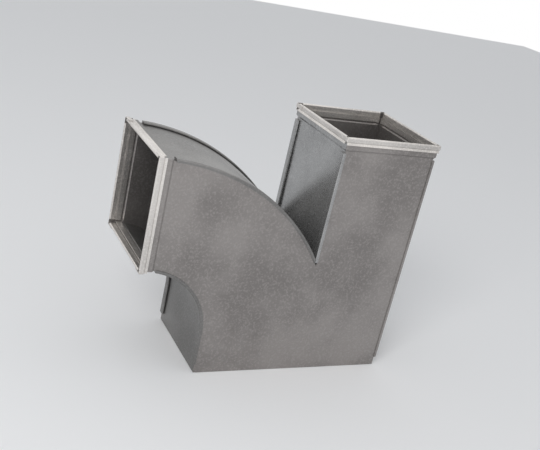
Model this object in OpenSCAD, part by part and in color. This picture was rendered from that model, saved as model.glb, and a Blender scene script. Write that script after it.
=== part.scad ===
// Rectangular duct branch fitting in galvanised sheet steel.
// The trunk mouth at the bottom feeds a straight run going up and a radius branch going left.
// Six folded panels close on each other with hammered corner locks, and eight S-shaped
// slats, four round each branch mouth, make the pockets that the next ducts push into.
// +X points away from the branch mouth, +Y to the back, +Z up. The origin is under the middle
// of the whole fitting, on the plane that the trunk mouth stands on.

/* [Duct] */
// Inside width of the trunk mouth
trunk_w = 300; // [250:5:420]
// Inside depth of the duct, the same in all three mouths
duct_d = 150; // [100:5:260]
// Inside width of the straight run
straight_w = 145; // [100:5:190]
// Height of the straight run's rim over the trunk mouth
height = 365; // [320:5:600]

/* [Branch] */
// Inside height of the branch mouth
branch_h = 150; // [120:5:200]
// Radius of the throat, on the duct side of the sheet
throat_r = 99; // [80:1:140]
// Straight height of the trunk under the throat
throat_rise = 63.5; // [40:0.5:120]
// Straight neck between the throat's curve and the branch rim
neck = 9; // [2:1:40]
// Height of the crotch, where the inside faces of heel and straight run meet
crotch_z = 167; // [140:1:200]

/* [Sheet] */
// Thickness of the sheet
sheet = 1; // [0.8:0.1:1.2]
// Gap left inside a closed fold
fold_gap = 0.2; // [0.1:0.05:0.4]
// Height of the hem folded inwards round the trunk mouth
hem_h = 9; // [6:0.5:15]
// Radius of the hem's lower edges
hem_edge_r = 0.8; // [0.4:0.1:0.9]

/* [Corner lock] */
// Width of the lip hammered over onto the cheek
lip_w = 4.5; // [3.5:0.5:8]
// Depth of the cheek's flange in the lock's pocket
flange_d = 8; // [6:0.5:12]
// Play on each side of the flange in the pocket
pocket_play = 0.15; // [0.05:0.05:0.3]
// Inside radius of the bend that carries the lip round the corner
lip_bend_r = 0.6; // [0.4:0.1:0.8]
// Bare length between a branch rim and the start of a lock
lock_stop = 24; // [22:1:40]
// Bare height between the trunk mouth and the start of a lock
lock_foot = 14; // [11:1:25]
// Length cut off each end of the hems, so that they clear each other in the corners
hem_snip = 3; // [2:0.5:8]

/* [Crotch lock] */
// Length of the two tails that hook together under the crotch
tail = 12; // [9:1:20]
// Height of the heel's edge turned up behind the wall's tail
hook_h = 8; // [5:0.5:8]

/* [Rim slats] */
// Outward step of the panels' edges under the slats
joggle = 2; // [1:0.25:3]
// Length of the sloped part of that step
joggle_run = 3; // [2:0.5:4]
// Distance from the rim to the foot of the step
collar = 21; // [20.5:0.5:22]
// Depth of the slat's middle leaf
slat_depth = 17.5; // [15:0.5:18]
// Play of the panel's edge inside the outer fold
edge_play = 1; // [0.6:0.1:1.4]
// Width of the pocket for the next duct's edge
pocket = 1.6; // [1.2:0.1:2.4]
// Step down from the rim to the inner leaf's free edge
inner_step = 8.5; // [6:0.5:10]
// Height of the outer leaf's flat band
band_h = 6.3; // [5:0.1:7]
// Depth of the crease where the outer leaf grips the panel
crease_s = 8; // [7.5:0.1:8.5]
// Depth of the outer leaf's flared edge
flare_s = 11; // [10:0.1:12.5]
// Outward kick of the flared edge
flare_u = 1.3; // [0.6:0.1:2]
// Play at the ends of the short slats
slat_play = 0.3; // [0.1:0.1:1]
// Length of the tabs turned round the corners
tab = 18; // [10:1:25]
// Step down from the rim to the tabs' upper edge
tab_top = 0.6; // [0.3:0.1:1]
// Inside radius of the tab's bend
tab_bend_r = 0.5; // [0.3:0.1:0.9]
// Depth of the snip cut at the inner corners of the long slats
snip = 5; // [3:0.5:6]

/* [Hidden] */
$fn = 96;

zinc = [0.60, 0.60, 0.60];
zinc_warm = [0.56, 0.54, 0.53];
zinc_blue = [0.62, 0.65, 0.68];
rim_pale = [0.80, 0.78, 0.75];

arc_fn = 360;
eps = 0.01;
// How far the stretches of one sheet run into each other where it bends
lap = 0.05;
far = 2000;
half_d = duct_d / 2;

// Corner lock, measured outwards from the duct side of a wrapper's sheet
turn_r = sheet + fold_gap / 2;
pocket_w = sheet + 2 * pocket_play;
flange_u = 2 * sheet + fold_gap + pocket_play;
leaf_u = 2 * sheet + fold_gap + pocket_w;
lock_u = leaf_u + sheet;
pocket_v = half_d + sheet - flange_d - pocket_play;

// Rim slats, measured outwards from the inside face of the stepped collar
turn_gap = sheet + edge_play;
slat_turn_r = turn_gap / 2 + sheet;
slat_u = turn_gap + sheet;
inner_u = -2 * sheet - pocket;
sheet_end = slat_turn_r;
rim_u = joggle + max(slat_u + sheet, 2 * sheet + flare_u);

// Places in the fitting's own plane, x across and z up
whole_w = neck + throat_r + trunk_w + rim_u;
mouth_x = -whole_w / 2;
throat_cx = mouth_x + neck;
throat_x = throat_cx + throat_r;
wall_x = throat_x + trunk_w;
split_x = wall_x - straight_w;
branch_z0 = throat_rise + throat_r;
branch_z1 = branch_z0 + branch_h;
run_x = split_x - mouth_x;
run_z = branch_z1 - crotch_z;
heel_r = (run_x * run_x + run_z * run_z) / (2 * run_z);
heel_z = branch_z1 - heel_r;
collar_x = mouth_x + collar;
collar_z = height - collar;
lock_x = mouth_x + lock_stop;
lock_z = height - lock_stop;

// Height of a circle's upper side over its centre, at a distance dx beside it
function rise(r, dx) = sqrt(r * r - dx * dx);

// Height of the heel, u outside its duct face, at a place x
function heel_top(u, x) = heel_z + rise(heel_r + u, x - mouth_x);

// How far a face of heel or throat stands outside the branch's box where the collar starts
function heel_foot(u) = rise(heel_r + u, collar) - heel_r;
function throat_foot(u) = throat_r - rise(throat_r - u, max(0, collar - neck));

// The crotch: the heel's lock ends beside the wall's, and the wall's ends above the heel's sheet
heel_lock_x = split_x - lock_u - fold_gap;
wall_lock_z = heel_top(sheet, split_x - lock_u) + fold_gap;
tail_z = crotch_z - tail;
tail_x = split_x - sheet - fold_gap;

// Turns a drawing in x and z upright, with its thickness along y
module along_y(y0, y1) {
  translate([0, y1, 0]) rotate([90, 0, 0]) linear_extrude(y1 - y0) children();
}

// Sweeps a drawing in y and z along x
module along_x(x0, x1) {
  translate([x0, 0, 0]) rotate([90, 0, 90]) linear_extrude(x1 - x0) children();
}

// Raises a drawing in x and y from z0 to z1
module along_z(z0, z1) {
  translate([0, 0, z0]) linear_extrude(z1 - z0) children();
}

// Turns a section in radius and y about a centre in the plane, from angle a0 to a1
module around(cx, cz, a0, a1) {
  translate([cx, 0, cz]) rotate([90, -a0, 0])
    rotate_extrude(angle = a1 - a0, $fn = arc_fn) mirror([0, 1]) children();
}

// A rectangle given by its corners
module box2(x0, y0, x1, y1) {
  translate([x0, y0]) square([x1 - x0, y1 - y0]);
}

// A slab that spans the whole depth, given by its corners in x and z
module slab(x0, z0, x1, z1) {
  along_y(-far, far) box2(x0, z0, x1, z1);
}

// What is drawn at one end, and its mirror image at the other
module both_x() {
  children();
  mirror([1, 0, 0]) children();
}

// What is drawn at the back, and its mirror image at the front
module both_y() {
  children();
  mirror([0, 1, 0]) children();
}

// The half of a ring that closes a fold, open towards -y
module turn(r_in) {
  difference() {
    circle(r_in + sheet);
    circle(r_in);
    box2(-far, -far, far, 0);
  }
}

// A quarter of a ring, in the corner of +x and +y
module corner(r_in) {
  intersection() {
    difference() {
      circle(r_in + sheet);
      circle(r_in);
    }
    square(r_in + sheet);
  }
}

// Section of a side panel where it has no lock: u across, y along
module bare_section() {
  box2(0, -half_d, sheet, half_d);
}

// The part of a side panel's section that all its stretches share
module core_section() {
  box2(0, turn_r - half_d, sheet, half_d - turn_r);
}

// Folded pocket and hammered lip of the lock at the back edge
module lock_edge() {
  translate([turn_r, half_d - turn_r]) turn(fold_gap / 2);
  box2(sheet + fold_gap, pocket_v, 2 * sheet + fold_gap, half_d - turn_r);
  translate([leaf_u - pocket_w / 2, pocket_v]) mirror([0, 1]) turn(pocket_w / 2);
  box2(leaf_u, pocket_v, lock_u, half_d + sheet - lip_bend_r);
  translate([leaf_u - lip_bend_r, half_d + sheet - lip_bend_r]) corner(lip_bend_r);
  box2(lock_u - lip_w, half_d + sheet, leaf_u - lip_bend_r, half_d + 2 * sheet);
}

// Section of a side panel with a lock on both edges
module lock_section() {
  core_section();
  both_y() lock_edge();
}

// Section of the back cheek's flange, its rounded corner and its root in the flat of the cheek
module flange_section() {
  box2(flange_u - sheet, half_d, flange_u, half_d + sheet);
  box2(flange_u, half_d + sheet - flange_d, flange_u + sheet, half_d);
  intersection() {
    translate([flange_u, half_d]) circle(sheet);
    box2(flange_u, half_d, flange_u + sheet, half_d + sheet);
  }
}

// Section of the hem at the trunk mouth: outer face at x = 0, duct side towards +x
module hem_section() {
  hem_w = 2 * sheet + fold_gap;
  difference() {
    union() {
      box2(hem_edge_r, 0, hem_w - hem_edge_r, hem_edge_r);
      box2(0, hem_edge_r, hem_w, hem_h);
      translate([hem_edge_r, hem_edge_r]) circle(hem_edge_r);
      translate([hem_w - hem_edge_r, hem_edge_r]) circle(hem_edge_r);
    }
    box2(sheet, sheet, sheet + fold_gap, hem_h + eps);
  }
}

// Section of a rim slat: u across from the collar's inside face, z = 0 at the rim
module slat_section() {
  bend_z = pocket / 2 + sheet - slat_depth;
  translate([turn_gap / 2, -slat_turn_r]) turn(turn_gap / 2);
  box2(-sheet, bend_z, 0, -slat_turn_r);
  translate([-sheet - pocket / 2, bend_z]) mirror([0, 1]) turn(pocket / 2);
  box2(inner_u, bend_z, inner_u + sheet, -inner_step);
  polygon([[turn_gap, -slat_turn_r], [turn_gap, -band_h], [sheet, -crease_s],
    [sheet + flare_u, -flare_s], [2 * sheet + flare_u, -flare_s],
    [2 * sheet, -crease_s], [slat_u, -band_h], [slat_u, -slat_turn_r]]);
}

// Stepped edge of a panel at a rim, drawn in the mouth's frame at its back side. The faces of
// its foot lie at foot_in and foot_out, its ends at low and high, and over is what it laps
// beyond the side panels' duct faces.
module rim_collar(width, over, foot_in, foot_out, low, high) {
  step_z = joggle_run - collar;
  reach = width / 2 + over + joggle;
  intersection() {
    translate([0, half_d, 0]) along_x(-width, width)
      polygon([[foot_in, -collar], [joggle, step_z], [joggle, -sheet_end],
        [joggle + sheet, -sheet_end], [joggle + sheet, step_z], [foot_out, -collar]]);
    along_y(0, 2 * duct_d)
      polygon([[-width / 2 - low, -collar], [-reach, step_z], [-reach, -sheet_end],
        [reach, -sheet_end], [reach, step_z], [width / 2 + high, -collar]]);
  }
}

// The same edge on a panel between the cheeks, outwards along +x
module side_collar(width, foot_in, foot_out) {
  step_z = joggle_run - collar;
  reach = half_d + joggle;
  intersection() {
    translate([width / 2, 0, 0]) along_y(-2 * duct_d, 2 * duct_d)
      polygon([[foot_in, -collar], [joggle, step_z], [joggle, -sheet_end],
        [joggle + sheet, -sheet_end], [joggle + sheet, step_z], [foot_out, -collar]]);
    along_x(0, 2 * width)
      polygon([[-half_d, -collar], [-reach, step_z], [-reach, -sheet_end],
        [reach, -sheet_end], [reach, step_z], [half_d, -collar]]);
  }
}

// Frames of the two branch mouths: z out of the duct, x across the mouth's width
module straight_mouth() {
  translate([split_x + straight_w / 2, 0, height]) children();
}

module branch_mouth() {
  translate([mouth_x, 0, branch_z0 + branch_h / 2]) rotate([0, -90, 0]) children();
}

// Outline of a cheek, u outside the duct faces, without its stepped edges
module outline(u) {
  difference() {
    union() {
      box2(split_x - u, 0, wall_x + u, collar_z + lap);
      intersection() {
        translate([mouth_x, heel_z]) circle(heel_r + u, $fn = 2 * arc_fn);
        box2(collar_x - lap, 0, wall_x, branch_z1 + u + eps);
      }
    }
    translate([throat_cx, throat_rise]) circle(throat_r - u, $fn = arc_fn);
    box2(mouth_x - far, -eps, throat_x - u, throat_rise);
    box2(mouth_x - far, -eps, throat_cx, branch_z0 - u);
  }
}

// Where the cheek laps out over the locks' pockets
module lock_zones() {
  box2(lock_x, lock_foot, heel_lock_x, far);
  box2(split_x - flange_u, wall_lock_z, split_x, lock_z);
  box2(split_x, lock_foot, far, lock_z);
}

// The back cheek's flanges in the pockets of heel, throat and walls
module cheek_flanges() {
  translate([wall_x, 0, 0]) along_z(lock_foot, lock_z) flange_section();
  translate([split_x, 0, 0]) mirror([1, 0, 0]) along_z(wall_lock_z, lock_z) flange_section();
  translate([throat_x, 0, 0]) mirror([1, 0, 0]) along_z(lock_foot, throat_rise) flange_section();
  heel_run(lock_x, heel_lock_x) flange_section();
  throat_run(lock_x, far) flange_section();
  if (neck > lock_stop)
    translate([0, 0, branch_z0]) along_x(lock_x, throat_cx) rotate(-90) flange_section();
}

// The back cheek; the front one is its mirror image
module cheek() {
  along_y(half_d, half_d + sheet) {
    difference() {
      outline(sheet);
      box2(mouth_x - far, -eps, far, hem_edge_r);
    }
    intersection() {
      outline(flange_u);
      lock_zones();
    }
  }
  cheek_flanges();
  along_x(throat_x + hem_snip, wall_x - hem_snip)
    translate([half_d + sheet, 0]) mirror([1, 0]) hem_section();
  straight_mouth() rim_collar(straight_w, sheet, 0, sheet, sheet, sheet);
  branch_mouth() rim_collar(branch_h, sheet, 0, sheet, throat_foot(sheet), heel_foot(sheet));
}

// Hem of a side panel, its duct face at x = 0 and its outer face at x = sheet
module side_hem() {
  along_y(hem_snip - half_d, half_d - hem_snip) translate([sheet, 0]) mirror([1, 0]) hem_section();
}

// Upright stretch of a side panel with its locks between two heights
module side_run(z0, lock0, lock1, z1) {
  along_z(z0, z1) core_section();
  along_z(z0, lock0) bare_section();
  along_z(lock0, lock1) lock_section();
  if (z1 > lock1)
    along_z(lock1, z1) bare_section();
}

module front_cheek() {
  color(zinc) mirror([0, 1, 0]) cheek();
}

module back_cheek() {
  color(zinc) cheek();
}

module outer_wall() {
  color(zinc) {
    translate([wall_x, 0, 0]) {
      side_run(hem_edge_r, lock_foot, lock_z, collar_z + lap);
      side_hem();
    }
    straight_mouth() side_collar(straight_w, 0, sheet);
  }
}

// Its foot is the tail that the heel's edge hooks round
module inner_wall() {
  color(zinc_blue) {
    translate([split_x, 0, 0]) mirror([1, 0, 0])
      side_run(tail_z, wall_lock_z, lock_z, collar_z + lap);
    straight_mouth() mirror([1, 0, 0]) side_collar(straight_w, 0, sheet);
  }
}

// Stretch of the heel between two places, from a section drawn as for an upright panel
module heel_run(x0, x1) {
  intersection() {
    around(mouth_x, heel_z, 0, 90) translate([heel_r, 0]) children();
    slab(x0, heel_z, x1, far);
  }
}

// Stretch of the throat's curve from a place x0 to its lower end
module throat_run(x0, x1) {
  intersection() {
    around(throat_cx, throat_rise, 0, 90) translate([throat_r, 0]) mirror([1, 0]) children();
    slab(x0, 0, x1, far);
  }
}

module heel_wrapper() {
  color(zinc_warm) {
    heel_run(collar_x - lap, tail_x) core_section();
    heel_run(collar_x - lap, lock_x) bare_section();
    heel_run(lock_x, heel_lock_x) lock_section();
    heel_run(heel_lock_x, tail_x) bare_section();
    // edge bent down beside the wall's tail and hooked round it
    along_y(-half_d, half_d) {
      box2(tail_x - sheet, tail_z, tail_x, heel_top(sheet, tail_x));
      translate([split_x - sheet / 2, tail_z]) mirror([0, 1]) turn(sheet / 2 + fold_gap);
      box2(split_x + fold_gap, tail_z, split_x + fold_gap + sheet, tail_z + hook_h);
    }
    branch_mouth() side_collar(branch_h, heel_foot(0), heel_foot(sheet));
  }
}

module throat_wrapper() {
  color(zinc_warm) {
    translate([throat_x, 0, 0]) mirror([1, 0, 0]) {
      side_run(hem_edge_r, lock_foot, throat_rise, throat_rise);
      side_hem();
    }
    throat_run(collar_x - lap, far) core_section();
    throat_run(collar_x - lap, lock_x) bare_section();
    throat_run(lock_x, far) lock_section();
    if (neck > collar)
      neck_run(collar_x - lap, min(lock_x, throat_cx)) bare_section();
    if (neck > lock_stop)
      neck_run(lock_x, throat_cx) lock_section();
    branch_mouth() mirror([1, 0, 0]) side_collar(branch_h, throat_foot(0), throat_foot(sheet));
  }
}

// A flat stretch of the throat's neck, its section drawn as for an upright panel
module neck_run(x0, x1) {
  translate([0, 0, branch_z0]) rotate([0, 90, 0]) along_z(x0, x1) children();
}

// Slat on the back side of a mouth, with tabs turned round the corners over the short slats
module long_slat(width) {
  reach = width / 2 + joggle;
  bend_x = reach + slat_u - tab_bend_r;
  bend_y = turn_gap - tab_bend_r;
  translate([0, half_d + joggle, 0]) {
    difference() {
      along_x(-bend_x, bend_x) slat_section();
      both_x() translate([reach - snip, inner_u - eps, -slat_depth - eps])
        cube([far, turn_gap / 2 - inner_u + eps, far]);
    }
    both_x() along_z(-band_h, -tab_top) {
      box2(reach, turn_gap, bend_x, slat_u);
      translate([bend_x, bend_y]) corner(tab_bend_r);
      box2(reach + slat_u, slat_u - tab, reach + slat_u + sheet, bend_y);
    }
  }
}

// Slat on the +x side of a mouth, between the long ones
module short_slat(width) {
  end_y = half_d + joggle + inner_u - slat_play;
  translate([width / 2 + joggle, 0, 0]) along_y(-end_y, end_y) slat_section();
}

module straight_rim_front() {
  color(rim_pale) straight_mouth() mirror([0, 1, 0]) long_slat(straight_w);
}

module straight_rim_back() {
  color(rim_pale) straight_mouth() long_slat(straight_w);
}

module straight_rim_inner() {
  color(rim_pale) straight_mouth() mirror([1, 0, 0]) short_slat(straight_w);
}

module straight_rim_outer() {
  color(rim_pale) straight_mouth() short_slat(straight_w);
}

module branch_rim_front() {
  color(rim_pale) branch_mouth() mirror([0, 1, 0]) long_slat(branch_h);
}

module branch_rim_back() {
  color(rim_pale) branch_mouth() long_slat(branch_h);
}

module branch_rim_top() {
  color(rim_pale) branch_mouth() short_slat(branch_h);
}

module branch_rim_bottom() {
  color(rim_pale) branch_mouth() mirror([1, 0, 0]) short_slat(branch_h);
}

front_cheek();
back_cheek();
heel_wrapper();
throat_wrapper();
inner_wall();
outer_wall();
straight_rim_front();
straight_rim_back();
straight_rim_inner();
straight_rim_outer();
branch_rim_front();
branch_rim_back();
branch_rim_top();
branch_rim_bottom();
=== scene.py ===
"""Dresses the rectangular duct branch fitting in weathered galvanised steel."""

import bpy
from mathutils import Matrix, Vector

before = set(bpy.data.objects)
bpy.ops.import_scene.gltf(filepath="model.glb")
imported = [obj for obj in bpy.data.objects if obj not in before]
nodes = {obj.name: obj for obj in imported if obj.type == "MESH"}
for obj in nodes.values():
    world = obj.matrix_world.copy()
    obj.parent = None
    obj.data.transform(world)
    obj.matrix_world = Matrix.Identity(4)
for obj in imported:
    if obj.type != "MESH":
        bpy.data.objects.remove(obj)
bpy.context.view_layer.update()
scene = bpy.context.scene

# Camera, as fitted to the photograph: 540 x 450 pixels, principal point in the middle
PHOTO_W = 540
FOCAL_PX = 855.86
SENSOR_MM = 36.0
CAMERA_TURN = Vector((1.9458, -0.2704, 0.4915))
CAMERA_SHIFT = Vector((-0.10873, 0.20813, 1.20920))
# The fit's own origin, the front left corner of the trunk, in the frame of the part
FIT_ORIGIN = Vector((-0.099, -0.075, 0.0))
CLIP_NEAR = 0.05
CLIP_FAR = 100.0

# Base colours of the sheet, linear, by the kind of surface: besides the spangled one, lit and
# shaded copies of the same zinc
SPANGLE_BASE = (0.33, 0.31, 0.30)
# Painted shade: the heel and throat wrappers' darker copy of the same zinc
PAINTED_SHADE_BASE = (0.25, 0.245, 0.24)
# Painted reflection: the inner wall's lighter copy of the zinc; its lower roughness below is
# a real shinier sheet
SHINY_WALL_REFLECTION_BASE = (0.42, 0.42, 0.42)
# Painted highlight: the rim slats' pale copy of the same zinc
RIM_PAINTED_HIGHLIGHT_BASE = (0.70, 0.67, 0.64)
# Mean roughness of each kind
WORN_ROUGH = 0.42
BRIGHT_ROUGH = 0.25
RIM_ROUGH = 0.35
METALLIC = 0.85

# The zinc's three noises, finest first: how many cells each has in a metre
GRAIN_SCALE = 900.0
SPECK_SCALE = 350.0
STAIN_SCALE = 9.0
# Brightness of stained and of flecked zinc against its base colour
STAIN_TONE = 0.72
FLECK_TONE = 1.25
FLECK_COVER = 0.5
# How far the grain lowers and raises the roughness
ROUGH_DOWN = 0.08
ROUGH_UP = 0.10
# The grain's relief
RELIEF_STRENGTH = 0.15
RELIEF_DEPTH = 0.0002

# Floor: a plain pale plane, a hair under the part
FLOOR_SIZE = 8.0
FLOOR_DROP = 0.0002
FLOOR_GREY = 0.9
FLOOR_ROUGH = 0.9

# Surround: white to the camera and in reflections, softer as light on the part
SEEN_COLOUR = (1.0, 1.0, 1.0)
SOFT_COLOUR = (0.95, 0.97, 1.0)
SOFT_STRENGTH = 0.6

# The one lamp, over the front left of the part, and the point it is turned to
KEY_PLACE = Vector((-1.6, -1.6, 1.8))
KEY_TARGET = Vector((0.0, 0.0, 0.15))
KEY_SIZE = 1.2
KEY_WATTS = 30.0


def make_camera():
    """The camera looks along its -Z; the fit's camera looks along +Z with Y down."""
    turn = Matrix.Rotation(CAMERA_TURN.length, 3, CAMERA_TURN.normalized())
    place = FIT_ORIGIN - turn.transposed() @ CAMERA_SHIFT
    facing = turn.transposed() @ Matrix.Diagonal((1.0, -1.0, -1.0))
    data = bpy.data.cameras.new("camera")
    data.sensor_fit = "HORIZONTAL"
    data.sensor_width = SENSOR_MM
    data.lens = FOCAL_PX / PHOTO_W * SENSOR_MM
    data.clip_start = CLIP_NEAR
    data.clip_end = CLIP_FAR
    camera = bpy.data.objects.new("camera", data)
    camera.matrix_world = Matrix.Translation(place) @ facing.to_4x4()
    scene.collection.objects.link(camera)
    scene.camera = camera


class Tree:
    """Short calls for building a material's or a world's nodes."""

    def __init__(self, owner):
        owner.use_nodes = True
        self.tree = owner.node_tree
        self.tree.nodes.clear()

    def node(self, kind, **settings):
        made = self.tree.nodes.new(kind)
        for name, value in settings.items():
            setattr(made, name, value)
        return made

    def link(self, source, target):
        self.tree.links.new(source, target)

    def put(self, value, socket):
        """Links a socket to another one, or writes a constant on it."""
        if isinstance(value, bpy.types.NodeSocket):
            self.link(value, socket)
        else:
            socket.default_value = value

    def math(self, operation, a, b):
        made = self.node("ShaderNodeMath", operation=operation)
        self.put(a, made.inputs[0])
        self.put(b, made.inputs[1])
        return made.outputs[0]

    def mix(self, factor, a, b):
        made = self.node("ShaderNodeMix", data_type="RGBA")
        made.clamp_factor = True
        self.put(factor, made.inputs["Factor"])
        self.put(a, made.inputs[6])
        self.put(b, made.inputs[7])
        return made.outputs[2]

    def span(self, value, low, high, out_low=0.0, out_high=1.0):
        """Maps low..high smoothly onto out_low..out_high."""
        made = self.node("ShaderNodeMapRange", clamp=True, interpolation_type="SMOOTHSTEP")
        for name, x in (("Value", value), ("From Min", low), ("From Max", high),
                        ("To Min", out_low), ("To Max", out_high)):
            self.put(x, made.inputs[name])
        return made.outputs["Result"]

    def noise(self, place, scale, detail, rough):
        made = self.node("ShaderNodeTexNoise")
        for name, x in (("Vector", place), ("Scale", scale), ("Detail", detail),
                        ("Roughness", rough)):
            self.put(x, made.inputs[name])
        return made.outputs["Fac"]


def colour(rgb):
    return (*rgb, 1.0)


def toned(base, share):
    """The base colour, darker or lighter by a share, and never over white."""
    return colour(min(1.0, share * c) for c in base)


def zinc(name, base, rough):
    """Galvanised sheet: fine spangle, slow stains, faint grain."""
    material = bpy.data.materials.new(name)
    t = Tree(material)
    place = t.node("ShaderNodeTexCoord").outputs["Object"]
    out = t.node("ShaderNodeOutputMaterial")
    shader = t.node("ShaderNodeBsdfPrincipled")
    t.link(shader.outputs[0], out.inputs["Surface"])
    shader.inputs["Metallic"].default_value = METALLIC
    grain = t.noise(place, GRAIN_SCALE, 3.0, 0.6)
    speck = t.noise(place, SPECK_SCALE, 2.0, 0.6)
    stain = t.noise(place, STAIN_SCALE, 4.0, 0.55)
    flecks = t.math("MULTIPLY", t.span(speck, 0.45, 0.7), FLECK_COVER)
    tone = t.mix(t.span(stain, 0.35, 0.65), toned(base, STAIN_TONE), colour(base))
    tone = t.mix(flecks, tone, toned(base, FLECK_TONE))
    t.link(tone, shader.inputs["Base Color"])
    gloss = t.span(grain, 0.3, 0.7, rough - ROUGH_DOWN, rough + ROUGH_UP)
    t.link(gloss, shader.inputs["Roughness"])
    bump = t.node("ShaderNodeBump")
    bump.inputs["Strength"].default_value = RELIEF_STRENGTH
    bump.inputs["Distance"].default_value = RELIEF_DEPTH
    t.link(grain, bump.inputs["Height"])
    t.link(bump.outputs[0], shader.inputs["Normal"])
    return material


def dress(name, material):
    mesh = nodes[name].data
    mesh.materials.clear()
    mesh.materials.append(material)


def dress_all():
    """Flat sheets are spangled; the curved wrappers get a darker base as painted shade, the
    inner wall a lighter base as painted reflection on a shinier sheet, the slats a pale base
    as painted highlight.
    """
    spangle = zinc("zinc_spangle", SPANGLE_BASE, WORN_ROUGH)
    painted_shade_zinc = zinc("zinc_dull", PAINTED_SHADE_BASE, WORN_ROUGH)
    bright = zinc("zinc_bright", SHINY_WALL_REFLECTION_BASE, BRIGHT_ROUGH)
    rim = zinc("zinc_rim", RIM_PAINTED_HIGHLIGHT_BASE, RIM_ROUGH)
    for name in ("front_cheek", "back_cheek", "outer_wall"):
        dress(name, spangle)
    # The heel and throat wrappers take the darker copy, as painted shade
    for name in ("heel_wrapper", "throat_wrapper"):
        dress(name, painted_shade_zinc)
    # The inner wall's lighter base is painted reflection on a shinier sheet
    dress("inner_wall", bright)
    # The slats take the pale copy, as painted highlight
    for name in nodes:
        if "_rim_" in name:
            dress(name, rim)


def make_floor():
    bpy.ops.mesh.primitive_plane_add(size=FLOOR_SIZE, location=(0.0, 0.0, -FLOOR_DROP))
    floor = bpy.context.object
    floor.name = "floor"
    material = bpy.data.materials.new("floor_white")
    t = Tree(material)
    out = t.node("ShaderNodeOutputMaterial")
    shader = t.node("ShaderNodeBsdfPrincipled")
    shader.inputs["Base Color"].default_value = colour([FLOOR_GREY] * 3)
    shader.inputs["Roughness"].default_value = FLOOR_ROUGH
    t.link(shader.outputs[0], out.inputs["Surface"])
    floor.data.materials.append(material)


def make_world():
    world = bpy.data.worlds.new("studio")
    scene.world = world
    t = Tree(world)
    out = t.node("ShaderNodeOutputWorld")
    path = t.node("ShaderNodeLightPath")
    white = t.node("ShaderNodeBackground")
    white.inputs["Color"].default_value = colour(SEEN_COLOUR)
    soft = t.node("ShaderNodeBackground")
    soft.inputs["Color"].default_value = colour(SOFT_COLOUR)
    soft.inputs["Strength"].default_value = SOFT_STRENGTH
    seen = t.math("MAXIMUM", path.outputs["Is Camera Ray"], path.outputs["Is Glossy Ray"])
    mixer = t.node("ShaderNodeMixShader")
    t.link(seen, mixer.inputs[0])
    t.link(soft.outputs[0], mixer.inputs[1])
    t.link(white.outputs[0], mixer.inputs[2])
    t.link(mixer.outputs[0], out.inputs["Surface"])


def make_key_light():
    data = bpy.data.lights.new("key", "AREA")
    data.shape = "RECTANGLE"
    data.size = KEY_SIZE
    data.size_y = KEY_SIZE
    data.energy = KEY_WATTS
    lamp = bpy.data.objects.new("key", data)
    lamp.location = KEY_PLACE
    lamp.rotation_euler = (KEY_TARGET - KEY_PLACE).to_track_quat("-Z", "Y").to_euler()
    scene.collection.objects.link(lamp)


make_camera()
make_world()
make_floor()
make_key_light()
dress_all()

scene.view_settings.view_transform = "Standard"
